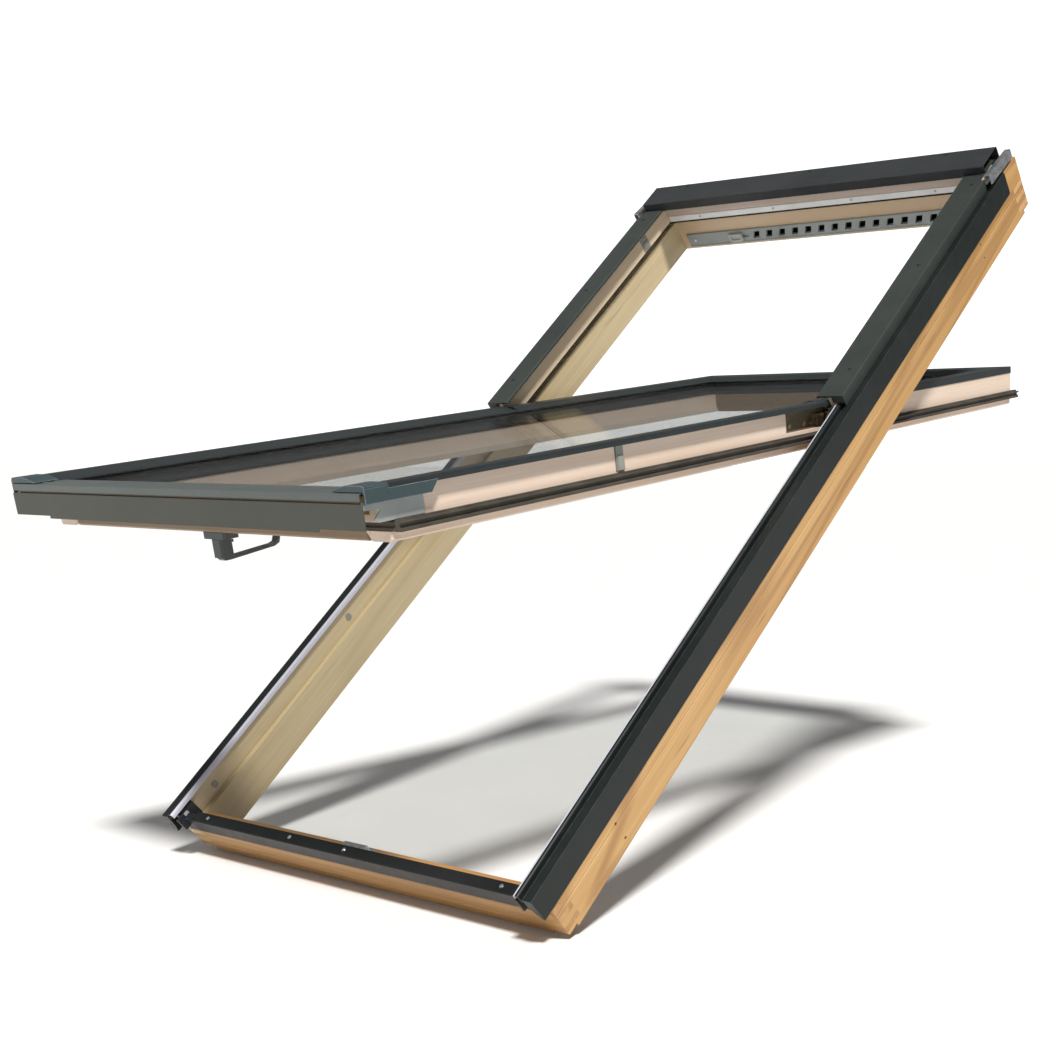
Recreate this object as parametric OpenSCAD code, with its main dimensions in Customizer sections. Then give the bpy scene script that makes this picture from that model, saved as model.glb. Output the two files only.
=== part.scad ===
// Raised-axis timber roof skylight: inclined frame, pivoting sash, metal covers.
// Row frame: X across the width, +Z up, +Y horizontally towards the ridge.
// Members are drawn flat (x across, u up the slope, n outwards) and then tilted.

/* [Window size] */
// Outer width of the timber frame
frame_width = 780; // [700:10:1000]
// Outer length of the timber frame along the slope
frame_height = 1600; // [1500:10:1800]
// Depth of the timber frame from outer face to room side
frame_depth = 95; // [92:1:110]

/* [Pose] */
// Slope of the roof the frame lies in, degrees
roof_pitch = 40; // [15:1:60]
// Angle of the sash away from the frame, degrees
open_angle = 33.2; // [5:0.1:50]

/* [Vent] */
// Number of slots in the head ventilation grille
vent_slots = 17; // [8:1:17]
// Distance between neighbouring slots
vent_pitch = 30.4; // [26:0.1:30.4]

/* [Handle] */
// Reach of the handle lever from its axis
lever_reach = 84; // [60:1:120]

/* [Hidden] */
$fn = 40;
hw = frame_width / 2;
H = frame_height;
D = frame_depth;
xi = hw - 31;            // stile inner face, room side
xo = hw - 22;            // stile inner face, outer band
ledge_n = -35;           // level of the ledge the sash closes in front of
pu = H - 674;            // pivot position up the slope
pn = -8;                 // pivot position outwards
cov_u = H - 663;         // lower end of the raised covers
sj = H - 685;            // joint of lower and upper sash covers
sw = hw - 44;            // sash timber side
sl = hw - 53;            // sash lip side
sc = hw - 33;            // lower sash cover side
su = hw - 43;            // upper sash cover side
gi = hw - 89;            // inner edge of the sash covers
so = hw - 94;            // sash timber inner side
sw_top = H - 58;         // upper end of sash timber
sl_top = H - 44;         // upper end of sash lip
hu = 56;                 // handle axis up the slope
finger_n = [[-48, -39], [-66, -57], [-84, -75]];
sill_screw_x = [-310, -115, 5, 315];
cover_screw_u = [cov_u + 66, cov_u + 330, H - 110];
hood_screw_x = [-292, -4, 281];
hinge_screw_u = [pu - 98, pu - 59, pu - 38];

module in_frame() rotate([roof_pitch, 0, 0]) translate([0, 0, 60]) children();
module in_sash()
  in_frame() translate([0, pu, pn]) rotate([-open_angle, 0, 0])
    translate([0, -pu, -pn]) children();
module left() mirror([1, 0, 0]) children();
module both() { children(); mirror([1, 0, 0]) children(); }
module along_u(u0, u1)
  translate([0, u1, 0]) rotate([90, 0, 0]) linear_extrude(height = u1 - u0) children();
module along_x(x0, x1)
  translate([x0, 0, 0]) rotate([90, 0, 90]) linear_extrude(height = x1 - x0) children();
module along_n(n0, n1)
  translate([0, 0, n0]) linear_extrude(height = n1 - n0) children();
module box(x0, x1, u0, u1, n0, n1)
  translate([x0, u0, n0]) cube([x1 - x0, u1 - u0, n1 - n0]);
module rod_x(x0, x1, u, n, r) translate([x0, u, n]) rotate([0, 90, 0]) cylinder(h = x1 - x0, r = r);
module rod_n(x, u, n0, n1, r) translate([x, u, n0]) cylinder(h = n1 - n0, r = r);
module rod_u(x, u0, u1, n, r) translate([x, u1, n]) rotate([90, 0, 0]) cylinder(h = u1 - u0, r = r);

// ---------- timber frame ----------
module stile_shape()
  difference() {
    along_u(0, H)
      polygon([[xi, -D + 1], [xi + 1, -D], [hw - 1, -D], [hw, -D + 1],
        [hw, -53.2], [hw - 1.2, -52], [hw, -50.8], [hw, 1.8], [hw - 11.6, 1.8],
        [hw - 11.6, -2.2], [xo, -2.2], [xo, ledge_n], [xi, ledge_n]]);
    // shallower depth at both ends
    box(xi - 1, hw + 1, -1, 19, -D - 1, -D + 6);
    box(xi - 1, hw + 1, H - 19, H + 1, -D - 1, -D + 6);
    // slots that take the fingers of sill and head
    for (f = finger_n) {
      box(xi - 1, hw + 1, -1, 31, f[0], f[1]);
      box(xi - 1, hw + 1, H - 35, H + 1, f[0], f[1]);
    }
    // pilot holes for the fixing brackets
    for (n = [-54 + 3, -84 + 3]) rod_x(hw - 14, hw + 1, 155, n, 2.5);
    for (n = [-44, -69]) rod_x(hw - 14, hw + 1, H - 186, n, 2);
    // seats of the plugs
    for (u = [72, 440]) rod_x(xo - 1, xo + 4, u, -20, 6);
  }

module frame_stile_right() color([0.82, 0.64, 0.41]) in_frame() stile_shape();
module frame_stile_left() color([0.82, 0.64, 0.41]) in_frame() left() stile_shape();

module frame_head()
  color([0.82, 0.66, 0.46]) in_frame() {
    difference() {
      along_x(-xi, xi)
        polygon([[H - 35, -D + 1], [H - 34, -D], [H - 1, -D], [H, -D + 1],
          [H, 1.8], [H - 24, 1.8], [H - 24, 16], [H - 35, 16]]);
      // air duct behind the grille
      box(-341, 341, H - 36, H - 22, -86, -65);
    }
    both() for (f = finger_n) box(xi, hw, H - 35, H, f[0], f[1]);
  }

module frame_sill()
  color([0.66, 0.53, 0.38]) in_frame() {
    along_x(-xi, xi)
      polygon([[1, -D], [30, -D], [31, -D + 1], [31, ledge_n], [1.5, ledge_n],
        [1.5, -46], [0, -47.5], [0, -75.3], [1.2, -76.5],
        [0, -77.7], [0, -D + 1]]);
    box(-344, 344, 1.5, 13, ledge_n, -13);
    both() for (f = finger_n) box(xi, hw, 0, 31, f[0], f[1]);
  }

module batten_shape()
  difference() {
    along_u(cov_u + 4, H - 54)
      polygon([[hw - 40, -20], [xo, -20], [xo, -2.4], [hw - 29.1, -2.4],
        [hw - 29.1, 9.4], [hw - 11, 9.4], [hw - 11, 22.1], [hw - 40, 22.1]]);
    box(hw - 15, hw, H - 103, H, 5, 30);
  }
module stop_batten_right() color([0.86, 0.76, 0.62]) in_frame() batten_shape();
module stop_batten_left() color([0.86, 0.76, 0.62]) in_frame() left() batten_shape();

module head_batten()
  color([0.80, 0.72, 0.66]) in_frame()
    along_x(-(hw - 29.1), hw - 29.1)
      polygon([[H - 54, -9], [H - 48, -9], [H - 48, -20], [H - 35, -20],
        [H - 35, 18.4], [H - 53, 18.4], [H - 54, 17.4]]);

// ---------- metal covers of the frame ----------
module channel_shape() {
  along_u(-14, H - 50)
    polygon([[hw + 1.2, -36], [hw + 1.2, 3.2], [hw - 13.2, 3.2], [hw - 13.2, -1],
      [hw - 18.6, -1], [hw - 18.6, 6.4], [hw - 19.3, 7.9], [hw - 20.8, 8.8],
      [hw - 26, 8.8], [hw - 27.6, 7.9], [hw - 28.3, 6.3], [hw - 28.3, 1],
      [hw - 27.1, 1], [hw - 27.1, 5.9], [hw - 25.5, 7.6], [hw - 21.4, 7.6],
      [hw - 19.8, 6.2], [hw - 19.8, -2.2], [hw - 12, -2.2], [hw - 12, 2],
      [hw, 2], [hw, -36]]);
  // closing plate at the lower end
  along_u(-15.2, -14)
    polygon([[hw + 1.2, 3.2], [hw - 13.2, 3.2], [hw - 13, -8], [hw - 8, -24],
      [hw - 2, -34], [hw + 1.2, -36]]);
}
module side_channel_right() color([0.22, 0.24, 0.24]) in_frame() channel_shape();
module side_channel_left() color([0.22, 0.24, 0.24]) in_frame() left() channel_shape();

module raised_shape()
  difference() {
    along_u(cov_u, H - 40)
      polygon([[hw - 57, 18.6], [hw - 55.8, 18.6], [hw - 55.8, 22.1],
        [hw - 10.2, 22.1], [hw - 10.2, 4], [hw - 9, 4], [hw - 9, 22.3],
        [hw - 10, 23.3], [hw - 56, 23.3], [hw - 57, 22.3]]);
    box(hw - 15.5, hw, H - 101, H, 0, 30);
  }
module raised_end()
  along_u(cov_u, cov_u + 1.2)
    polygon([[hw - 56, 20.3], [hw - 31, 20.3], [hw - 31, 9.6], [hw - 10, 9.6],
      [hw - 10, 22.2], [hw - 56, 22.2]]);
module raised_cover_right() color([0.29, 0.32, 0.31]) in_frame() { raised_shape(); raised_end(); }
module raised_cover_left() color([0.29, 0.32, 0.31]) in_frame() left() { raised_shape(); raised_end(); }

module head_hood()
  color([0.26, 0.28, 0.29]) in_frame()
    difference() {
      along_x(-(hw - 16), hw - 16)
        polygon([[H - 78.5, 18.6], [H - 81, 35.6], [H - 79.5, 37], [H - 24, 37],
          [H - 21.6, 35.6], [H - 20.2, 4.2], [H - 19.2, 3.2], [H + 1.2, 3.2],
          [H + 1.2, 2], [H - 20, 2], [H - 21.4, 3.6], [H - 22.8, 34.8],
          [H - 24.4, 35.8], [H - 79, 35.8], [H - 77.3, 18.6]]);
      both() box(hw - 57.6, hw, H - 90, H - 38, 10, 23.6);
    }

module sill_cover()
  color([0.25, 0.27, 0.28]) in_frame()
    along_x(-344, 344)
      polygon([[-4, -37], [-2.8, -37], [-2.8, -13], [13, -13], [13, -20],
        [14.2, -20], [14.2, -12.4], [13.6, -11.8], [-3, -11.8], [-4, -12.8]]);

module corner_shape() {
  along_u(0, 10)
    polygon([[344, ledge_n], [xo, ledge_n], [xo, -3], [xo - 1.6, -3],
      [xo - 3, -8], [xo - 7, -11.5], [xo - 13, -13], [344, -13]]);
  // flange on the stile face, rounded at its upper end
  difference() {
    along_u(10, 26)
      polygon([[xo - 4, ledge_n], [xo, ledge_n], [xo, -3], [xo - 1.6, -3], [xo - 4, -9]]);
    translate([0, 0, 0]) rod_x(xo - 6, xo + 1, 42, -38, 18);
  }
  // fin in front of the channel's lower end
  box(358, 361.4, -14, 0, -26, -3);
  along_u(-4, 0)
    polygon([[344, -37], [370, -37], [370, -3], [xo - 1.6, -3], [xo - 3, -8],
      [xo - 7, -11.5], [xo - 13, -13], [344, -13]]);
}
module corner_piece_right() color([0.07, 0.08, 0.09]) in_frame() corner_shape();
module corner_piece_left() color([0.07, 0.08, 0.09]) in_frame() left() corner_shape();

module bracket_shape() {
  difference() {
    along_x(hw - 9.5, hw + 1.2)
      polygon([[H - 98, 12], [H - 10, 7], [H - 10, 22], [H - 98, 29]]);
    along_x(hw - 8.2, hw - 0.1)
      polygon([[H - 99, 10], [H - 11.4, 5], [H - 11.4, 20.8], [H - 99, 27.8]]);
  }
  // short foot on the channel, inside the bracket
  box(hw - 8, hw - 6, H - 80, H - 56, 3.2, 25);
}
module head_bracket_right() color([0.68, 0.70, 0.71]) in_frame() bracket_shape();
module head_bracket_left() color([0.68, 0.70, 0.71]) in_frame() left() bracket_shape();

// ---------- ventilation in the head ----------
module vent_strip()
  color([0.93, 0.94, 0.95]) in_frame()
    box(-(hw - 41), hw - 41, H - 55.2, H - 54, -20, -9);
module slot_2d(w, h, lean) polygon([[-w / 2 - lean, -h / 2], [w / 2 - lean, -h / 2],
  [w / 2 + lean, h / 2], [-w / 2 + lean, h / 2]]);
module slot_row(u0, u1)
  for (i = [0 : vent_slots - 1])
    translate([-174 + i * vent_pitch, u1, -75.5]) rotate([90, 0, 0])
      linear_extrude(height = u1 - u0) slot_2d(14, 14, 3);
module vent_grille()
  color([0.49, 0.52, 0.52]) in_frame()
    difference() {
      union() {
        box(-342, 342, H - 38, H - 35, -89, -62);
        box(-342, 342, H - 39, H - 38, -89, -87);
        box(-342, 342, H - 39, H - 38, -64, -62);
      }
      slot_row(H - 40, H - 34);
      // guide slot of the slider
      box(-234, -192, H - 40, H - 34, -78.5, -72.5);
    }
module vent_slider()
  color([0.80, 0.82, 0.82]) in_frame() {
    difference() {
      box(-300, 325, H - 34.6, H - 32.6, -84, -67);
      slot_row(H - 36, H - 31);
    }
    // neck and finger piece; the grille slot leaves room for half a pitch
    box(-232, -210, H - 39.4, H - 34.6, -78, -73);
    difference() {
      box(-236, -206, H - 44.4, H - 39.4, -83.5, -67.5);
      box(-232, -210, H - 46, H - 41.4, -79.5, -71.5);
    }
  }

// ---------- frame details ----------
module frame_gasket()
  color([0.06, 0.06, 0.06]) in_frame() {
    both() along_u(cov_u + 4, H - 44)
      polygon([[hw - 39.6, -21], [hw - 38.6, -20], [hw - 31.5, -20],
        [hw - 31.5, -23], [hw - 33, -24.4], [hw - 38.6, -24.4], [hw - 39.6, -23.4]]);
    box(-(hw - 31.5), hw - 31.5, H - 53.6, H - 44, -24.4, -20);
  }
module lock_keeper()
  color([0.62, 0.64, 0.65]) in_frame()
    difference() {
      union() {
        box(-31, 31, 14.6, 30, ledge_n, -33.6);
        box(-24, 24, 15, 28, -33.6, -25.6);
      }
      box(-20.5, 20.5, 14, 31, -33.6, -26.8);
    }
module stile_plugs()
  color([0.50, 0.52, 0.50]) in_frame()
    both() for (u = [72, 440]) rod_x(xo - 0.8, xo + 4, u, -20, 6);
module screw_n(x, u, n) {
  rod_n(x, u, n, n + 1.2, 3.2);
  rod_n(x, u, n + 1.2, n + 1.9, 2.1);
}
module screw_u(x, u, n, r) translate([x, u, n]) rotate([90, 0, 0]) {
  cylinder(h = 1, r = r);
  cylinder(h = 1.5, r = r * 0.65);
}
module cover_screws()
  color([0.72, 0.74, 0.75]) in_frame() {
    for (x = sill_screw_x) screw_n(x, 6, -11.8);
    for (x = [-27.5, 27.5]) rod_n(x, 22, -33.6, -32.6, 2.4);
    for (x = [-325, 325]) screw_u(x, H - 38, -75.5, 3);
    for (x = [-272, -97, 78, 253]) screw_u(x, H - 55.2, -14, 2);
  }
module painted_screws()
  color([0.25, 0.27, 0.27]) in_frame() {
    both() for (u = cover_screw_u) screw_n(hw - 28, u, 23.3);
    for (x = hood_screw_x) screw_n(x, H - 29, 37);
  }
module batten_clips()
  color([0.55, 0.56, 0.54]) in_frame()
    both() {
      box(hw - 41.2, hw - 40, H - 158, H - 136, -18, 6);
      box(hw - 42.4, hw - 41.2, H - 154, H - 140, -14, -2);
    }

// ---------- pivot hardware on the frame ----------
module pivot_bracket_shape()
  difference() {
    union() {
      box(hw - 32.1, xo, pu - 42, pu + 13, ledge_n, -19);
      along_x(hw - 32.1, xo)
        polygon([[pu - 42, -19], [pu + 13, -19], [pu + 13, -3.5], [pu + 9, 0.5],
          [pu - 9, 0.5], [pu - 16, -8], [pu - 38, -10], [pu - 42, -13]]);
    }
    rod_x(hw - 34, xo + 1, pu, pn, 4.07);
  }
module pivot_bracket_right() color([0.36, 0.30, 0.20]) in_frame() pivot_bracket_shape();
module pivot_bracket_left() color([0.36, 0.30, 0.20]) in_frame() left() pivot_bracket_shape();

// ---------- sash timber ----------
module sash_stile_shape()
  difference() {
    union() {
      along_u(42, sl_top)
        polygon([[so, -41], [so + 8, -51], [sl - 2.4, -51], [sl, -48.6], [sl, -39], [so, -39]]);
      along_u(51, sw_top)
        polygon([[so, -39], [sw, -39], [sw, 10], [sw - 14, 10], [sw - 14, -16.5], [so, -16.5]]);
      along_u(20, 51)
        polygon([[so, -25], [sw, -25], [sw, 10], [sw - 14, 10], [sw - 14, -16.5], [so, -16.5]]);
    }
    // pocket of the hinge plate
    box(sw - 8, sw + 1, pu - 112, pu + 12, -20, 11);
    // seat of the side clip
    box(sw - 1, sw + 1, 423, 439, -24, 11);
  }
module sash_stile_right() color([0.90, 0.80, 0.72]) in_sash() sash_stile_shape();
module sash_stile_left() color([0.90, 0.80, 0.72]) in_sash() left() sash_stile_shape();

module sash_bottom_rail()
  color([0.62, 0.51, 0.41]) in_sash()
    difference() {
      union() {
        along_x(-so, so)
          polygon([[42, -48.6], [44.4, -51], [88, -51], [96, -41], [96, -16.5],
            [20, -16.5], [20, -25], [51, -25], [51, -39], [42, -39]]);
        box(-sw + 14, sw - 14, 20, 28, -16.5, 7);
        box(-sw, sw, -3, 20, -8, 7);
      }
      // latch channel and spindle hole
      box(-19, 19, 50, 88, -33.2, -27);
      rod_n(0, hu, -52, -33, 4.4);
    }
module sash_top_rail()
  color([0.88, 0.77, 0.66]) in_sash() {
    along_x(-so, so)
      polygon([[H - 115, -41], [H - 107, -51], [sl_top - 2.4, -51], [sl_top, -48.6],
        [sl_top, -39], [sw_top, -39], [sw_top, 10], [H - 72, 10],
        [H - 72, -16.5], [H - 115, -16.5]]);
    both() box(so - 1, sw - 14, H - 72, sw_top, -16.5, 10);
  }

// ---------- glazing ----------
gx = sw - 15.5;
module pane(n0, n1) box(-gx, gx, 30, H - 74, n0, n1);
module outer_pane() color([0.78, 0.83, 0.84, 0.35]) in_sash() pane(4, 8);
module inner_pane() color([0.78, 0.83, 0.84, 0.35]) in_sash() pane(-16, -12);
module pane_spacer()
  color([0.16, 0.17, 0.17]) in_sash()
    difference() {
      box(-gx + 3, gx - 3, 33, H - 77, -12, 4);
      box(-gx + 14, gx - 14, 44, H - 88, -13, 5);
    }

// ---------- sash covers ----------
module sash_cover_shape()
  along_u(4, sj)
    polygon([[sc, 10], [sc, 14.2], [sc - 1.2, 16.2], [sc - 3.6, 17.4], [sc - 8, 17.5],
      [sc - 22, 17.5], [gi + 3, 11], [gi, 9.6], [gi, 8.3], [gi + 1.2, 8.3],
      [gi + 3.6, 9.6], [sc - 21.8, 16.3], [sc - 7.8, 16.3], [sc - 3.2, 15.9],
      [sc - 1.6, 14.6], [sc - 1.2, 13.8], [sc - 1.2, 10]]);
module sash_cover_right() color([0.22, 0.25, 0.27]) in_sash() sash_cover_shape();
module sash_cover_left() color([0.22, 0.25, 0.27]) in_sash() left() sash_cover_shape();

module sash_upper_cover_shape()
  difference() {
    along_u(sj, H - 108)
      polygon([[su, 6], [su, 17.1], [su - 0.6, 17.5], [gi + 14, 17.5], [gi + 2, 11],
        [gi, 9.6], [gi, 8.3], [gi + 1.2, 8.3], [gi + 2.9, 10], [gi + 14.4, 16.3],
        [su - 1.2, 16.3], [su - 1.2, 10.2], [su - 0.8, 10.2], [su - 0.8, 6]]);
    // mitre against the top cover
    along_n(0, 30) polygon([[gi - 2, H - 124], [gi + 16, H - 106], [gi - 2, H - 106]]);
  }
module sash_upper_cover_right() color([0.20, 0.21, 0.22]) in_sash() sash_upper_cover_shape();
module sash_upper_cover_left() color([0.20, 0.21, 0.22]) in_sash() left() sash_upper_cover_shape();

module sash_top_cover()
  color([0.20, 0.21, 0.22]) in_sash() {
    difference() {
      along_x(-gi - 14, gi + 14)
        polygon([[H - 122, 8.3], [H - 122, 9.6], [H - 120, 11], [H - 108, 17.5],
          [sw_top + 0.6, 17.5], [sw_top + 1.2, 16.9], [sw_top + 1.2, 6], [sw_top, 6],
          [sw_top, 16.3], [H - 107.6, 16.3], [H - 119.1, 10], [H - 120.8, 8.3]]);
      both() along_n(0, 30)
        polygon([[gi - 2, H - 124], [gi + 16, H - 106], [gi + 16, H - 124]]);
    }
    along_x(-su, su)
      polygon([[H - 108, 17.5], [sw_top + 0.6, 17.5], [sw_top + 1.2, 16.9],
        [sw_top + 1.2, 6], [sw_top, 6], [sw_top, 16.3], [H - 108, 16.3]]);
    both() box(su - 0.8, su, H - 108, sw_top, 6, 16.3);
  }

module bottom_ledge()
  color([0.44, 0.47, 0.47]) in_sash() {
    along_x(-352, 352)
      polygon([[-8, 2], [-8, 10], [-7.2, 10.6], [3.4, 10.6], [3.4, 9.4], [-6.8, 9.4], [-6.8, 2]]);
    along_x(-300.5, 300.5)
      polygon([[-8, 2], [-8, 10], [-7.2, 10.6], [6, 10.6], [7, 11.4], [12, 11.4],
        [13, 10.6], [22, 10.6], [23, 11.4], [27, 11.4], [28, 10.6], [39.4, 10.6],
        [40, 10], [40, 8.3], [38.8, 8.3], [38.8, 9.4], [-6.8, 9.4], [-6.8, 2]]);
  }

module bottom_apron()
  color([0.36, 0.37, 0.34]) in_sash() {
    along_x(-355, 355)
      polygon([[-8, -30], [-8, -2], [-7, -1], [-3, -1], [-3, -2.2], [-6.8, -2.4], [-6.8, -30]]);
    box(-275, 275, -8, -6.8, -33.5, -30);
  }

module cap_shape()
  difference() {
    along_u(-5, 30)
      polygon([[sc + 1.2, 8.6], [sc + 1.2, 14.8], [sc - 0.2, 17.2], [sc - 3, 18.7],
        [gi + 26, 18.7], [gi + 2, 12.6], [gi + 2, 11.6], [sc - 1.6, 11.6], [sc - 1.6, 8.6]]);
    along_u(-3.8, 31)
      polygon([[sc + 0.05, 7], [sc + 0.05, 14.3], [sc - 1, 16.5], [sc - 3.4, 17.55],
        [gi + 26.2, 17.55], [gi + 3.2, 11.7], [gi + 3.2, 11.5], [sc - 1.6, 7]]);
  }
module skirt_shape()
  along_x(sc, sc + 1.2) polygon([[-5, -1.5], [92, -1.5], [104, 12.2], [-5, 12.2]]);
module cap_all() { cap_shape(); skirt_shape(); }
module corner_cap_right() color([0.27, 0.31, 0.33]) in_sash() cap_all();
module corner_cap_left() color([0.27, 0.31, 0.33]) in_sash() left() cap_all();

module shield_shape()
  along_x(sw, sw + 1.2)
    polygon([[-2.8, -1], [88, -1], [88, -24.4], [22, -24.4], [12, -21], [24, -11], [-2.8, -9]]);
module corner_shield_right() color([0.70, 0.72, 0.70]) in_sash() shield_shape();
module corner_shield_left() color([0.70, 0.72, 0.70]) in_sash() left() shield_shape();

module side_clips()
  color([0.60, 0.61, 0.58]) in_sash()
    both() {
      box(sw - 1, sw + 2, 424, 438, -23, 9.5);
      box(sw + 2, sw + 4, 425, 437, -22, -4);
    }

module sash_seal()
  color([0.10, 0.10, 0.09]) in_sash() {
    both() along_u(42, sl_top)
      polygon([[sw, -25.2], [sw + 4, -25.2], [sw + 5, -27.6], [sw + 9.6, -27],
        [sw + 10.6, -28.6], [sw + 6, -31.6], [sw + 6, -33.4], [sw + 9, -35.4],
        [sw + 9, -38.8], [sw, -38.8]]);
    difference() {
      along_x(-sw, sw)
        polygon([[51, -25.2], [47, -25.2], [46, -27.6], [42.6, -27], [41.6, -28.6],
          [45, -31.6], [45, -33.4], [42.6, -35.4], [42.6, -38.8], [51, -38.8]]);
      box(-19.6, 19.6, 40, 52, -33.4, -24);
    }
    along_x(-sw, sw)
      polygon([[sw_top, -25.2], [sw_top + 5, -25.2], [sw_top + 6, -27.6], [sl_top - 2, -27],
        [sl_top + 1, -29], [sl_top - 4, -31.6], [sl_top - 4, -33.4], [sl_top - 1, -35.4],
        [sl_top - 1, -38.8], [sw_top, -38.8]]);
  }

// ---------- pivot hardware on the sash ----------
module hinge_arm_shape() {
  difference() {
    box(sw - 8, sw - 4.6, pu - 108, pu + 10, -18, 8.6);
    for (u = hinge_screw_u) rod_x(sw - 9, sw - 4, u, -11, 1.9);
  }
  // folded edge and spring housing
  box(sw - 4.6, sw - 1, pu - 108, pu + 10, 5.4, 8.6);
  box(sw - 4.6, sw + 1.4, pu - 30, pu - 12, -16, 1);
  // boss and pin
  rod_x(sw - 4.6, sw + 10.5, pu, pn, 9);
  rod_x(sw + 10.5, xo - 1.5, pu, pn, 4);
}
module hinge_arm_right() color([0.30, 0.25, 0.18]) in_sash() hinge_arm_shape();
module hinge_arm_left() color([0.30, 0.25, 0.18]) in_sash() left() hinge_arm_shape();
module hinge_screws()
  color([0.66, 0.55, 0.38]) in_sash()
    both() for (u = hinge_screw_u) {
      rod_x(sw - 4.6, sw - 3.2, u, -11, 3.6);
      rod_x(sw - 8, sw - 4.6, u, -11, 1.85);
    }

// ---------- handle and latch ----------
module handle_base()
  color([0.33, 0.34, 0.34]) in_sash()
    difference() {
      along_n(-60, -51)
        polygon([[-22, hu - 9], [-19, hu - 12], [19, hu - 12], [22, hu - 9],
          [22, hu + 9], [19, hu + 12], [-19, hu + 12], [-22, hu + 9]]);
      rod_n(0, hu, -61, -50, 4.4);
    }
module handle_lever()
  color([0.29, 0.33, 0.32]) in_sash() {
    // spindle
    rod_n(0, hu, -64, -34, 4);
    // neck
    along_n(-84, -60.6)
      polygon([[-9, hu - 7], [-7, hu - 10], [7, hu - 10], [9, hu - 7], [9, hu + 6],
        [7, hu + 9], [-7, hu + 9], [-9, hu + 6]]);
    // thumb stop
    box(-4, 4, hu + 9, hu + 14, -67, -63.5);
    // slim rising lever with an upturned end
    along_x(-6, 6)
      polygon([[hu - 7, -85.5], [hu - 4, -88], [hu + 4, -88], [hu + lever_reach - 11, -82.4],
        [hu + lever_reach - 3, -79], [hu + lever_reach, -71],
        [hu + lever_reach - 3.4, -71], [hu + lever_reach - 6, -77],
        [hu + lever_reach - 12, -79], [hu + 10, -83.4], [hu - 7, -83.4]]);
  }
module latch_bolt()
  color([0.66, 0.67, 0.68]) in_sash() box(-18, 18, 50.4, 84, -32.6, -27.6);

// ---------- parts by name ----------
frame_stile_right();
frame_stile_left();
frame_head();
frame_sill();
stop_batten_right();
stop_batten_left();
head_batten();
side_channel_right();
side_channel_left();
raised_cover_right();
raised_cover_left();
head_hood();
sill_cover();
corner_piece_right();
corner_piece_left();
head_bracket_right();
head_bracket_left();
vent_strip();
vent_grille();
vent_slider();
frame_gasket();
lock_keeper();
stile_plugs();
cover_screws();
painted_screws();
batten_clips();
pivot_bracket_right();
pivot_bracket_left();
sash_stile_right();
sash_stile_left();
sash_bottom_rail();
sash_top_rail();
outer_pane();
inner_pane();
pane_spacer();
sash_cover_right();
sash_cover_left();
sash_upper_cover_right();
sash_upper_cover_left();
sash_top_cover();
bottom_ledge();
bottom_apron();
corner_cap_right();
corner_cap_left();
corner_shield_right();
corner_shield_left();
side_clips();
sash_seal();
hinge_arm_right();
hinge_arm_left();
hinge_screws();
handle_base();
handle_lever();
latch_bolt();
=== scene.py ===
import math
import bpy
import bmesh
from mathutils import Vector, Matrix


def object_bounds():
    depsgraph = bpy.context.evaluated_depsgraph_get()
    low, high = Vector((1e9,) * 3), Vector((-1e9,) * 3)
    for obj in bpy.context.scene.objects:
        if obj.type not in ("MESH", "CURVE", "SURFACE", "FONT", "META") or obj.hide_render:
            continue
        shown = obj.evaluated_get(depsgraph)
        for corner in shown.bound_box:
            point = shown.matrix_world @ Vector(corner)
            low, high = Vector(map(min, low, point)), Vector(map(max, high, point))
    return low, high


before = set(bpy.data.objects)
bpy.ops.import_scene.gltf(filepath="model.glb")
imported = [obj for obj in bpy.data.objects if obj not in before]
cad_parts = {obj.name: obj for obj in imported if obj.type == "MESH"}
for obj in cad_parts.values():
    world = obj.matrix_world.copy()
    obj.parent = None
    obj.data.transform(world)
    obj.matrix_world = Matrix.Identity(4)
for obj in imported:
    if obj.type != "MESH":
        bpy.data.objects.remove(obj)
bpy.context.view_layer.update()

PITCH = math.radians(40.0)
OPEN = math.radians(33.2)
PU, PN = 0.926, -0.008


def F(x, u, n):
    """Flat frame coordinates (metres) to the row frame."""
    n = n + 0.060
    return Vector((x, u * math.cos(PITCH) - n * math.sin(PITCH), u * math.sin(PITCH) + n * math.cos(PITCH)))


def S(x, u, n):
    """Flat closed-sash coordinates (metres) to the row frame at rest."""
    du, dn = u - PU, n - PN
    return F(x, PU + du * math.cos(OPEN) + dn * math.sin(OPEN), PN - du * math.sin(OPEN) + dn * math.cos(OPEN))


# ------------------------------------------------------------------ materials
def srgb(hexa):
    v = [int(hexa[i:i + 2], 16) / 255 for i in (0, 2, 4)]
    return tuple([(c / 12.92 if c <= 0.04045 else ((c + 0.055) / 1.055) ** 2.4) for c in v] + [1.0])


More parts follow.
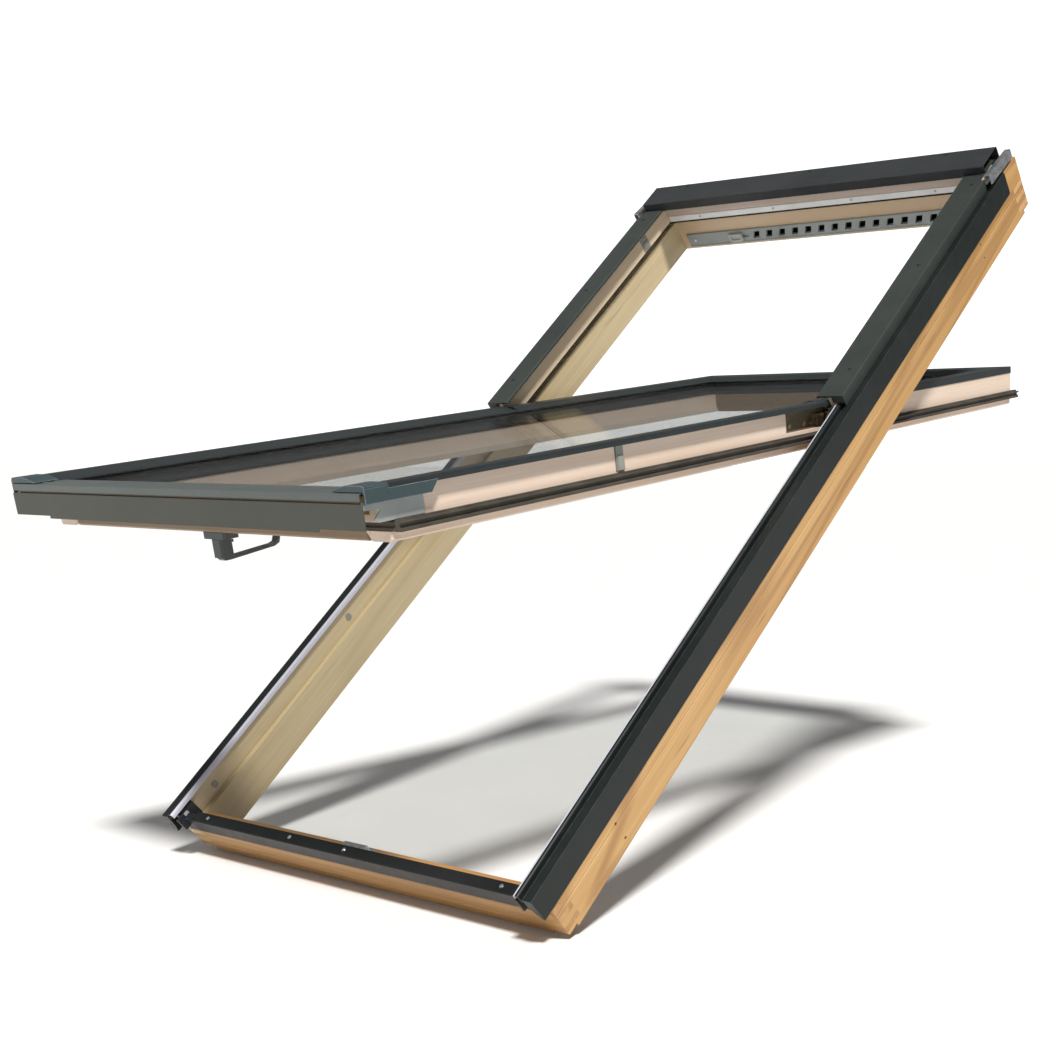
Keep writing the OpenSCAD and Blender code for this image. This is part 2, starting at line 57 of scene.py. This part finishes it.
class G:
    """A material's node tree with short helpers."""

    def __init__(self, name):
        self.m = bpy.data.materials.new(name)
        self.m.use_nodes = True
        self.t = self.m.node_tree
        self.t.nodes.clear()
        self.out = self.n("ShaderNodeOutputMaterial")
        self.co = self.n("ShaderNodeTexCoord").outputs["Object"]

    def n(self, kind, **props):
        node = self.t.nodes.new(kind)
        for k, v in props.items():
            setattr(node, k, v)
        return node

    def link(self, a, b):
        self.t.links.new(a, b)

    def put(self, socket, v):
        if isinstance(v, (int, float, tuple, list)):
            socket.default_value = v
        else:
            self.link(v, socket)

    def math(self, op, a, b=0.0, clamp=False):
        node = self.n("ShaderNodeMath", operation=op, use_clamp=clamp)
        self.put(node.inputs[0], a)
        self.put(node.inputs[1], b)
        return node.outputs[0]

    def map(self, v, a, b, c, d):
        node = self.n("ShaderNodeMapRange")
        self.put(node.inputs[0], v)
        for i, x in enumerate((a, b, c, d)):
            node.inputs[i + 1].default_value = x
        return node.outputs[0]

    def mix(self, fac, a, b, blend="MIX"):
        node = self.n("ShaderNodeMix", data_type="RGBA", blend_type=blend)
        self.put(node.inputs[0], fac)
        self.put(node.inputs[6], a)
        self.put(node.inputs[7], b)
        return node.outputs[2]

    def mapping(self, rot=(0, 0, 0), scale=(1, 1, 1), loc=(0, 0, 0), v=None):
        node = self.n("ShaderNodeMapping")
        node.inputs["Rotation"].default_value = rot
        node.inputs["Scale"].default_value = scale
        node.inputs["Location"].default_value = loc
        self.link(v or self.co, node.inputs["Vector"])
        return node.outputs[0]

    def noise(self, v, scale, detail=3.0, rough=0.5, dist=0.0):
        node = self.n("ShaderNodeTexNoise")
        self.link(v, node.inputs["Vector"])
        node.inputs["Scale"].default_value = scale
        node.inputs["Detail"].default_value = detail
        node.inputs["Roughness"].default_value = rough
        node.inputs["Distortion"].default_value = dist
        return node.outputs[0]

    def bevel(self, r):
        node = self.n("ShaderNodeBevel", samples=4)
        node.inputs["Radius"].default_value = r
        return node.outputs[0]

    def edge(self, bev):
        """0 on flat faces, 1 on outside edges."""
        geo = self.n("ShaderNodeNewGeometry")
        dot = self.n("ShaderNodeVectorMath", operation="DOT_PRODUCT")
        self.link(bev, dot.inputs[0])
        self.link(geo.outputs["Normal"], dot.inputs[1])
        return self.map(dot.outputs["Value"], 0.99, 0.80, 0.0, 1.0)

    def bump(self, h, strength, dist, normal=None):
        node = self.n("ShaderNodeBump")
        node.inputs["Strength"].default_value = strength
        node.inputs["Distance"].default_value = dist
        self.link(h, node.inputs["Height"])
        if normal is not None:
            self.link(normal, node.inputs["Normal"])
        return node.outputs[0]

    def principled(self, color, rough, normal, metallic=0.0, coat=0.0, coat_rough=0.2, spec=0.5):
        p = self.n("ShaderNodeBsdfPrincipled")
        self.put(p.inputs["Base Color"], color)
        self.put(p.inputs["Roughness"], rough)
        p.inputs["Metallic"].default_value = metallic
        p.inputs["Coat Weight"].default_value = coat
        p.inputs["Coat Roughness"].default_value = coat_rough
        p.inputs["Specular IOR Level"].default_value = spec
        if normal is not None:
            self.link(normal, p.inputs["Normal"])
        self.link(p.outputs[0], self.out.inputs["Surface"])
        return self.m


def wood(name, light, mid, dark, pitch, along, seed, ring=26.0, ring_amt=0.5, rough=0.42, coat=0.15, fleck_amt=0.35, duct_shade_and_face_light=False):
    """Lacquered pine. Grain runs up the slope ('u') or across ('x') of a member tilted by pitch."""
    g = G(name)
    flat = g.mapping(rot=(-pitch, 0, 0), loc=(0, 0, 0))
    if along == "u":
        long_s, fine_s, broad_s = (7.0, 0.55, 7.0), (330.0, 5.0, 330.0), (26.0, 0.9, 26.0)
    else:
        long_s, fine_s, broad_s = (0.55, 7.0, 7.0), (5.0, 330.0, 330.0), (0.9, 26.0, 26.0)
    o = (seed * 3.17, seed * 1.93, seed * 2.41)
    field = g.noise(g.mapping(scale=long_s, loc=o, v=flat), 1.0, 2.0, 0.45, 0.35)
    phase = g.math("MULTIPLY", field, ring * 6.2832)
    rings = g.map(g.math("SINE", phase), 0.15, 1.0, 0.0, 1.0)
    rings = g.math("POWER", rings, 1.6)
    fine = g.noise(g.mapping(scale=fine_s, loc=o, v=flat), 1.0, 4.0, 0.6)
    broad = g.noise(g.mapping(scale=broad_s, loc=o, v=flat), 1.0, 3.0, 0.5)
    # short darker flecks lying along the grain
    fleck_v = g.mapping(scale=(90.0, 6.0, 90.0) if along == "u" else (6.0, 90.0, 90.0), loc=(o[1], o[2], o[0]), v=flat)
    fleck = g.map(g.noise(fleck_v, 1.0, 2.0, 0.5), 0.66, 0.78, 0.0, 1.0)
    col = g.mix(g.map(broad, 0.32, 0.68, 0.0, 1.0), light, mid)
    col = g.mix(g.math("MULTIPLY", rings, ring_amt), col, dark)
    col = g.mix(g.map(fine, 0.35, 0.75, 0.0, 0.30), col, dark)
    col = g.mix(g.math("MULTIPLY", fleck, fleck_amt), col, dark)
    bev = g.bevel(0.0009)
    edge = g.edge(bev)
    col = g.mix(g.math("MULTIPLY", edge, 0.25), col, light)
    if duct_shade_and_face_light:
        # painted shade: the inside of the air duct behind the grille is a recess in shade, painted near-black
        sep = g.n("ShaderNodeSeparateXYZ")
        g.link(flat, sep.inputs[0])
        m = g.math("GREATER_THAN", sep.outputs[1], 1.5655)
        m = g.math("MULTIPLY", m, g.math("LESS_THAN", sep.outputs[1], 1.5795))
        m = g.math("MULTIPLY", m, g.math("GREATER_THAN", sep.outputs[2], -0.0263))
        m = g.math("MULTIPLY", m, g.math("LESS_THAN", sep.outputs[2], -0.0047))
        m = g.math("MULTIPLY", m, g.math("LESS_THAN", g.math("ABSOLUTE", sep.outputs[0]), 0.3415))
        col = g.mix(m, col, (0.008, 0.008, 0.008, 1))
        # painted light: the face towards the opening is painted paler than the ends, standing in for light falling on
        # it
        face = g.math("LESS_THAN", sep.outputs[1], 1.5653)
        col = g.mix(g.math("MULTIPLY", face, 0.7), col, srgb("e4cfb2"))
    rr = g.map(g.math("ADD", fine, g.math("MULTIPLY", broad, 0.5)), 0.4, 1.1, rough - 0.07, rough + 0.12)
    h = g.math("ADD", g.math("MULTIPLY", fine, 0.7), g.math("MULTIPLY", rings, -0.35))
    return g.principled(col, rr, g.bump(h, 0.28, 0.0004, bev), coat=coat, coat_rough=0.22)


def painted(name, color, rough=0.36, wear_and_highlight=0.25, wear_and_highlight_color=None, coat=0.10, var=0.10, metallic=0.0, spec=0.5, bev_r=0.0008, strip=None):
    """Coil-coated or powder-coated sheet with faint mottling, dust and paler edges: rubbed wear on most parts and a
    painted highlight on the corner caps; an optional pale band is a painted highlight.
    """
    g = G(name)
    big = g.noise(g.mapping(scale=(1, 1, 1)), 7.0, 4.0, 0.55)
    dust = g.noise(g.mapping(scale=(1, 1, 1), loc=(3, 1, 2)), 55.0, 5.0, 0.65)
    grain = g.noise(g.mapping(scale=(1, 1, 1), loc=(1, 2, 3)), 1400.0, 2.0, 0.5)
    hi = tuple([min(1, c * (1 + var) + 0.004) for c in color[:3]] + [1])
    lo = tuple([c * (1 - var) for c in color[:3]] + [1])
    col = g.mix(g.map(big, 0.3, 0.7, 0, 1), lo, hi)
    pale = tuple([min(1, c * 1.25 + 0.012) for c in color[:3]] + [1])
    col = g.mix(g.map(dust, 0.52, 0.80, 0, 0.35), col, pale)
    bev = g.bevel(bev_r)
    edge = g.edge(bev)
    # paler edges: rubbed wear, and on parts with a strong pale edge colour a painted highlight along the edge
    rubbed_and_highlight_edge = g.math("MULTIPLY", edge, g.map(dust, 0.35, 0.65, 0.35, 1.0))
    rubbed_and_highlight_color = wear_and_highlight_color or tuple([min(1, c * 1.9 + 0.03) for c in color[:3]] + [1])
    col = g.mix(g.math("MULTIPLY", rubbed_and_highlight_edge, wear_and_highlight), col, rubbed_and_highlight_color)
    if strip:
        # painted highlight: a pale band between two distances from the middle plane, standing in for light caught on
        # the bead
        sep = g.n("ShaderNodeSeparateXYZ")
        g.link(g.co, sep.inputs[0])
        ax = g.math("ABSOLUTE", sep.outputs[0])
        m = g.math("MULTIPLY", g.math("GREATER_THAN", ax, strip[0]), g.math("LESS_THAN", ax, strip[1]))
        col = g.mix(m, col, strip[2])
    rr = g.map(g.math("ADD", g.math("MULTIPLY", big, 0.5), g.math("MULTIPLY", dust, 0.5)), 0.3, 0.7, rough - 0.06, rough + 0.09)
    return g.principled(col, rr, g.bump(grain, 0.10, 0.00012, bev), metallic=metallic, coat=coat, coat_rough=0.18, spec=spec)


def galvanised(name, color=(0.56, 0.58, 0.60, 1), rough=0.34):
    """Zinc with soft spangle cells and fine scratches."""
    g = G(name)
    cells = g.n("ShaderNodeTexVoronoi", feature="F1")
    g.link(g.co, cells.inputs["Vector"])
    cells.inputs["Scale"].default_value = 170.0
    tone = g.n("ShaderNodeSeparateColor")
    g.link(cells.outputs["Color"], tone.inputs[0])
    scratch = g.noise(g.mapping(scale=(60, 900, 900)), 1.0, 3.0, 0.6)
    lo = tuple([c * 0.80 for c in color[:3]] + [1])
    col = g.mix(tone.outputs[0], lo, color)
    rr = g.map(g.math("ADD", tone.outputs[1], scratch), 0.3, 1.6, rough - 0.08, rough + 0.14)
    return g.principled(col, rr, g.bump(scratch, 0.12, 0.0001, g.bevel(0.0006)), metallic=0.92)


def plastic(name, color, rough=0.45, grain_scale=900.0, bump_amt=0.15, spec=0.45):
    """Moulded plastic with a spark-eroded texture and paler rubbed edges."""
    g = G(name)
    grain = g.noise(g.co, grain_scale, 2.0, 0.5)
    cloud = g.noise(g.mapping(loc=(5, 2, 1)), 30.0, 4.0, 0.6)
    lo = tuple([c * 0.90 for c in color[:3]] + [1])
    hi = tuple([min(1, c * 1.10 + 0.003) for c in color[:3]] + [1])
    col = g.mix(g.map(cloud, 0.3, 0.7, 0, 1), lo, hi)
    bev = g.bevel(0.0007)
    rub = tuple([min(1, c * 1.4 + 0.03) for c in color[:3]] + [1])
    col = g.mix(g.math("MULTIPLY", g.edge(bev), 0.35), col, rub)
    rr = g.map(cloud, 0.3, 0.7, rough - 0.05, rough + 0.10)
    return g.principled(col, rr, g.bump(grain, bump_amt, 0.00015, bev), spec=spec)


def rubber(name, color, rough=0.58):
    g = G(name)
    grain = g.noise(g.co, 600.0, 3.0, 0.6)
    bloom = g.noise(g.mapping(loc=(2, 7, 1)), 24.0, 4.0, 0.6)
    hi = tuple([min(1, c * 1.7 + 0.01) for c in color[:3]] + [1])
    col = g.mix(g.map(bloom, 0.35, 0.75, 0, 1), color, hi)
    rr = g.map(bloom, 0.3, 0.7, rough - 0.06, rough + 0.12)
    return g.principled(col, rr, g.bump(grain, 0.25, 0.0002, g.bevel(0.0006)), spec=0.4)


def pane_glass(name, tint, share):
    """Thin coated float glass: mirrors by Fresnel, passes the rest straight through with a faint green tint and dust film."""
    g = G(name)
    fres = g.n("ShaderNodeFresnel")
    fres.inputs["IOR"].default_value = 1.50
    clear = g.n("ShaderNodeBsdfTransparent")
    film = g.noise(g.mapping(scale=(1, 1, 1)), 9.0, 5.0, 0.6)
    g.link(g.mix(g.map(film, 0.3, 0.7, 0, 1), tint, tuple([min(1, c * 1.02) for c in tint[:3]] + [1])), clear.inputs["Color"])
    gloss = g.n("ShaderNodeBsdfGlossy")
    gloss.inputs["Color"].default_value = (0.95, 0.97, 0.98, 1)
    g.link(g.map(film, 0.3, 0.8, 0.004, 0.02), gloss.inputs["Roughness"])
    mix = g.n("ShaderNodeMixShader")
    g.link(g.math("MULTIPLY", fres.outputs[0], share), mix.inputs[0])
    g.link(clear.outputs[0], mix.inputs[1])
    g.link(gloss.outputs[0], mix.inputs[2])
    g.link(mix.outputs[0], g.out.inputs["Surface"])
    return g.m


SP = PITCH - OPEN
M = {}
M["stile"] = wood("stile_pine", srgb("cba46c"), srgb("b5894e"), srgb("7a4a20"), PITCH, "u", 1.0, ring=11, ring_amt=0.42, fleck_amt=0.8)
M["stile_l"] = wood("stile_pine_left", srgb("d0c09e"), srgb("c3b18b"), srgb("99805a"), PITCH, "u", 4.0, ring=6, ring_amt=0.16)
# the head's duct interior is painted near-black (painted shade) and its face towards the opening is painted paler
# (painted light)
M["head"] = wood("head_pine", srgb("dcb48a"), srgb("cc9e6c"), srgb("9c6c3c"), PITCH, "x", 2.0, ring=9, ring_amt=0.22, duct_shade_and_face_light=True)
M["sill"] = wood("sill_pine", srgb("c39a66"), srgb("ad8350"), srgb("7f5630"), PITCH, "x", 3.0, ring=10, ring_amt=0.28)
M["batten"] = wood("batten_pine", srgb("dfcdb2"), srgb("d3bfa2"), srgb("b2946e"), PITCH, "u", 5.0, ring=5, ring_amt=0.12)
M["batten_x"] = wood("batten_pine_x", srgb("d6c6bc"), srgb("c8b6aa"), srgb("a58e80"), PITCH, "x", 6.0, ring=5, ring_amt=0.12)
M["sash"] = wood("sash_pine", srgb("e6d4c4"), srgb("dcc7b4"), srgb("bf9f84"), SP, "u", 7.0, ring=5, ring_amt=0.14, rough=0.38)
# sash rails: a darker brown copy of the sash pine, painted shade for the rail lip lying in shadow under the apron
M["sash_x_painted_shade"] = wood("sash_pine_x_painted_shade", srgb("8f7654"), srgb("806746"), srgb("604628"), SP, "x", 8.0, ring=6, ring_amt=0.18, rough=0.38)

M["cover"] = painted("cover_coat", srgb("23292b"), rough=0.40, spec=0.3)
M["raised"] = painted("raised_coat", srgb("323735"), rough=0.48, spec=0.25)
M["hood"] = painted("hood_coat", srgb("2a2d2f"), rough=0.50, spec=0.25)
# channel: the pale lavender band on the inner edge of the bead is a painted highlight
M["channel"] = painted("channel_coat", srgb("1a201f"), rough=0.38, wear_and_highlight=0.4, wear_and_highlight_color=srgb("9a9ba6"), spec=0.22, strip=(0.3612, 0.3657, srgb("c4c4d2")))
M["sillcov"] = painted("sill_coat", srgb("17191a"), rough=0.42, spec=0.18)
M["apron"] = painted("apron_coat", srgb("44463f"), rough=0.50, wear_and_highlight=0.2, spec=0.3)
M["ledge"] = painted("ledge_coat", srgb("525957"), rough=0.36, wear_and_highlight=0.35, spec=0.4)
# corner caps: the strong pale bluish edge colour is a painted highlight along the outer edge, not wear
M["cap"] = painted("cap_coat", srgb("334347"), rough=0.30, wear_and_highlight=0.8, wear_and_highlight_color=srgb("c9d2d8"), bev_r=0.0012, spec=0.35)
M["grille"] = painted("grille_coat", srgb("a2a8a8"), rough=0.45, wear_and_highlight=0.2, spec=0.35)
M["handle"] = painted("handle_coat", srgb("3d4342"), rough=0.30, wear_and_highlight=0.4, metallic=0.25)
M["zinc"] = galvanised("zinc")
M["screw"] = galvanised("screw_zinc", color=(0.62, 0.63, 0.64, 1), rough=0.28)
M["hinge"] = galvanised("hinge_bronze", color=(0.20, 0.165, 0.105, 1), rough=0.36)
M["hscrew"] = galvanised("hinge_screw", color=(0.50, 0.40, 0.26, 1), rough=0.28)
M["black"] = plastic("corner_plastic", srgb("20242a"), rough=0.40)
M["grey"] = plastic("shield_plastic", srgb("979f9e"), rough=0.42)
M["plug"] = plastic("plug_plastic", srgb("8a8c84"), rough=0.5)
M["white"] = plastic("strip_plastic", srgb("f6f7f9"), rough=0.42)
M["knob"] = plastic("slider_plastic", srgb("b9bcba"), rough=0.42)
M["rubber"] = rubber("gasket_rubber", srgb("1b1a19"))
M["seal"] = rubber("seal_rubber", srgb("38342d"))
M["spacer"] = painted("spacer_bar", srgb("3c3f40"), rough=0.42, wear_and_highlight=0.1)
M["glass"] = pane_glass("float_glass", (0.87, 0.875, 0.87, 1), 0.22)
M["glass_in"] = pane_glass("float_glass_inner", (0.87, 0.875, 0.87, 1), 0.05)

USE = {
    "frame_stile_right": "stile", "frame_stile_left": "stile_l", "frame_head": "head", "frame_sill": "sill",
    "stop_batten_right": "batten", "stop_batten_left": "batten", "head_batten": "batten_x",
    "side_channel_right": "channel", "side_channel_left": "channel",
    "raised_cover_right": "raised", "raised_cover_left": "raised", "head_hood": "hood", "sill_cover": "sillcov",
    "corner_piece_right": "black", "corner_piece_left": "black", "head_bracket_right": "zinc", "head_bracket_left": "zinc",
    "vent_strip": "white", "vent_grille": "grille", "vent_slider": "knob", "frame_gasket": "rubber", "lock_keeper": "zinc",
    "stile_plugs": "plug", "cover_screws": "screw", "painted_screws": "raised", "batten_clips": "plug", "pivot_bracket_right": "hinge", "pivot_bracket_left": "hinge",
    "sash_stile_right": "sash", "sash_stile_left": "sash", "sash_bottom_rail": "sash_x_painted_shade", "sash_top_rail": "sash_x_painted_shade",
    "outer_pane": "glass", "inner_pane": "glass_in", "pane_spacer": "spacer",
    "sash_cover_right": "cover", "sash_cover_left": "cover", "sash_upper_cover_right": "cover", "sash_upper_cover_left": "cover",
    "sash_top_cover": "cover", "bottom_ledge": "ledge", "bottom_apron": "apron", "corner_cap_right": "cap", "corner_cap_left": "cap",
    "corner_shield_right": "grey", "corner_shield_left": "grey", "side_clips": "plug", "sash_seal": "seal",
    "hinge_arm_right": "hinge", "hinge_arm_left": "hinge", "hinge_screws": "hscrew",
    "handle_base": "handle", "handle_lever": "handle", "latch_bolt": "zinc",
}
for name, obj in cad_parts.items():
    mat = M[USE[name]]
    obj.data.materials.clear()
    obj.data.materials.append(mat)
    for p in obj.data.polygons:
        p.material_index = 0

# ------------------------------------------------------------------ stage
low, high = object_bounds()
bm = bmesh.new()
R, N = 40.0, 64
z0 = low[2] - 0.004
ring = [bm.verts.new((R * math.cos(2 * math.pi * i / N), R * math.sin(2 * math.pi * i / N), z0)) for i in range(N)]
bm.faces.new(ring)
me = bpy.data.meshes.new("floor")
bm.to_mesh(me)
bm.free()
floor = bpy.data.objects.new("floor", me)
bpy.context.scene.collection.objects.link(floor)
g = G("floor_paper")
fn = g.noise(g.co, 6.0, 4.0, 0.5)
me.materials.append(g.principled(g.mix(g.map(fn, 0.3, 0.7, 0, 1), (0.81, 0.81, 0.81, 1), (0.83, 0.83, 0.83, 1)), g.map(fn, 0.3, 0.7, 0.75, 0.85), None, spec=0.2))

world = bpy.data.worlds.new("studio")
bpy.context.scene.world = world
world.use_nodes = True
wt = world.node_tree
wt.nodes.clear()
wo = wt.nodes.new("ShaderNodeOutputWorld")
bg = wt.nodes.new("ShaderNodeBackground")
bg.inputs["Color"].default_value = (0.97, 0.985, 1.0, 1)
bg.inputs["Strength"].default_value = 0.18
seen = wt.nodes.new("ShaderNodeBackground")
seen.inputs["Color"].default_value = (1.0, 1.0, 1.0, 1)
seen.inputs["Strength"].default_value = 1.25
lp = wt.nodes.new("ShaderNodeLightPath")
wm = wt.nodes.new("ShaderNodeMixShader")
wt.links.new(lp.outputs["Is Camera Ray"], wm.inputs[0])
wt.links.new(bg.outputs[0], wm.inputs[1])
wt.links.new(seen.outputs[0], wm.inputs[2])
wt.links.new(wm.outputs[0], wo.inputs["Surface"])


def area(name, loc, target, size, power, color=(1, 1, 1)):
    d = bpy.data.lights.new(name, "AREA")
    d.shape = "RECTANGLE"
    d.size, d.size_y = size
    d.energy = power
    d.color = color
    o = bpy.data.objects.new(name, d)
    o.location = loc
    o.rotation_euler = (Vector(target) - Vector(loc)).to_track_quat("-Z", "Y").to_euler()
    bpy.context.scene.collection.objects.link(o)
    return o


mid = (Vector(low) + Vector(high)) / 2
sun = bpy.data.lights.new("key", "SUN")
sun.energy = 4.6
sun.angle = math.radians(8)
sun.color = (1.0, 0.975, 0.94)
key = bpy.data.objects.new("key", sun)
key.rotation_euler = Vector((-2.6, 2.3, -4.5)).to_track_quat("-Z", "Y").to_euler()
bpy.context.scene.collection.objects.link(key)
area("fill", (-3.5, -3.5, 2.5), mid, (3.0, 3.0), 20, (0.93, 0.96, 1.0))

# ------------------------------------------------------------------ camera
cam_d = bpy.data.cameras.new("camera")
cam = bpy.data.objects.new("camera", cam_d)
bpy.context.scene.collection.objects.link(cam)
bpy.context.scene.camera = cam
cam_d.sensor_width = 36.0
cam_d.sensor_fit = "HORIZONTAL"
cam_d.lens = 1541.464 / 1058 * 36.0
cam_d.shift_x = -(750.604 - 529) / 1058
cam_d.shift_y = (813.720 - 529) / 1058
cam_d.clip_start = 0.05
cam_d.clip_end = 200
cam.location = (1.701061, -1.379932, 0.597696)
cam.rotation_euler = (math.radians(90) - 0.23656349, 0, 0.63084675)

bpy.context.scene.view_settings.view_transform = "Standard"
bpy.context.scene.view_settings.look = "None"
